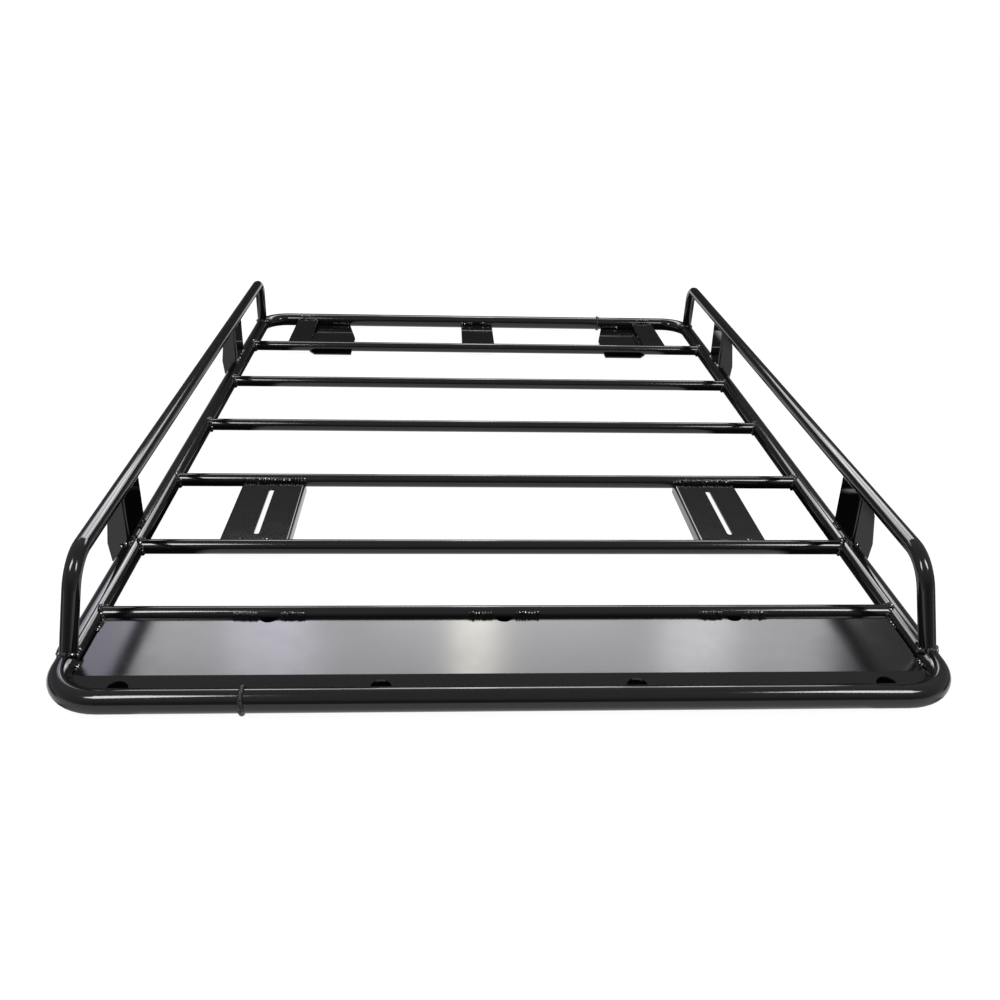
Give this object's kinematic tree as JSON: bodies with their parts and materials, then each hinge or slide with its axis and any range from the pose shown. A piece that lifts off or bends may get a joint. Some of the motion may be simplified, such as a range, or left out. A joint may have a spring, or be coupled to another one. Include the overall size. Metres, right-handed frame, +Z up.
{
  "type": "roof rack",
  "caption": "Open welded tubular steel roof rack in black powder coat, with crossbars, raised side rails, a folded front plate and slotted mounting plates.",
  "frame": {"origin": "middle of the rack's footprint, on the plane that the frame tube rests on", "axes": "+X to the rack's right as seen from its front, +Y to its rear, +Z up; the front plate is at -Y"},
  "size_m": [1.288, 1.813, 0.1635],
  "materials": {
    "tube_black": "semi-gloss black powder coat on steel tube",
    "bracket_black": "semi-gloss black powder coat on folded steel sheet",
    "plate_black": "semi-gloss black powder coat on folded steel sheet",
    "front_plate_black": "glossy black powder coat on folded steel sheet"
  },
  "bodies": {
    "root": {"left_frame_tube": "tube_black", "right_frame_tube": "tube_black", "left_side_rail": "tube_black", "right_side_rail": "tube_black", "crossbar_1": "tube_black", "crossbar_2": "tube_black", "crossbar_3": "tube_black", "crossbar_4": "tube_black", "crossbar_5": "tube_black", "crossbar_6": "tube_black", "front_left_bracket": "bracket_black", "front_right_bracket": "bracket_black", "rear_left_bracket": "bracket_black", "rear_right_bracket": "bracket_black", "front_plate": "front_plate_black", "left_slotted_plate": "plate_black", "right_slotted_plate": "plate_black", "left_rear_pad": "plate_black", "right_rear_pad": "plate_black", "rear_centre_plate": "plate_black"}
  },
  "joints": []
}
